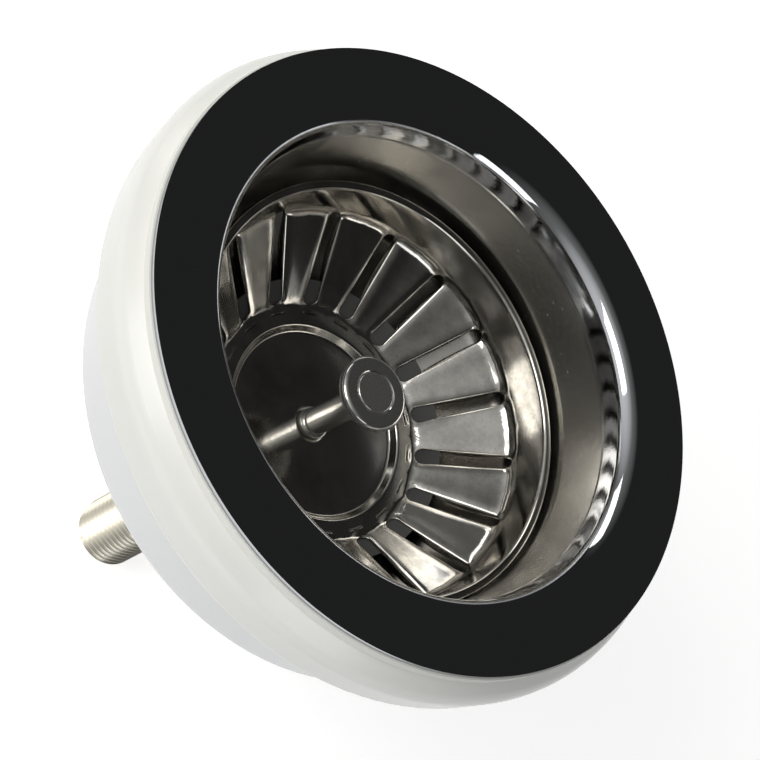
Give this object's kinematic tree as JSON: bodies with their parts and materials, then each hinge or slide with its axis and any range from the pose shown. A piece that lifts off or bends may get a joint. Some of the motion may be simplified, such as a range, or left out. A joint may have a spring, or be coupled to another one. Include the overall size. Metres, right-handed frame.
{
  "type": "shampoo bowl drain strainer",
  "caption": "Bowl drain strainer: polished flange and cup, slotted press-down basket with a knob, white clamp ring and shell, and a threaded outlet tail.",
  "frame": {"origin": "on the axis, where the full thread of the outlet tail ends and its chamfer begins", "axes": "+Z along the axis, out of the flange into the bowl; +Y through the middle of one slot"},
  "size_m": [0.1198, 0.1198, 0.1109],
  "materials": {
    "cup_steel": "mirror-polished flange, satin wall",
    "basket_steel": "bright pressed",
    "knob_steel": "polished",
    "spindle_steel": "polished",
    "spring_steel": "plain",
    "washer_steel": "plain",
    "tail_metal": "dull plated",
    "ring_plastic": "satin moulded",
    "shell_plastic": "satin moulded",
    "spider_plastic": "moulded",
    "plug_plastic": "moulded",
    "gasket_rubber": "matt",
    "stopper_rubber": "matt",
    "black_rubber": "matt"
  },
  "bodies": {
    "drain": {"strainer_cup": "cup_steel", "rim_gasket": "gasket_rubber", "clamp_ring": "ring_plastic", "clamp_shell": "shell_plastic", "outlet_tail": "tail_metal", "head_seal": "black_rubber", "foot_seal": "black_rubber", "foot_washer": "washer_steel", "lock_nut": "tail_metal", "catch_spider": "spider_plastic", "snap_ring": "spring_steel"},
    "basket": {"basket": "basket_steel", "spindle": "spindle_steel", "spindle_collar": "spindle_steel", "knob": "knob_steel", "stopper": "stopper_rubber", "spindle_seal": "black_rubber", "backing_washer": "washer_steel", "spindle_nut": "washer_steel", "catch_plug": "plug_plastic"}
  },
  "joints": [
    {"name": "basket_press", "type": "slide", "parent": "drain", "child": "basket", "axis": [0, 0, 1], "range_m": [-0.005, 0.004]}
  ]
}
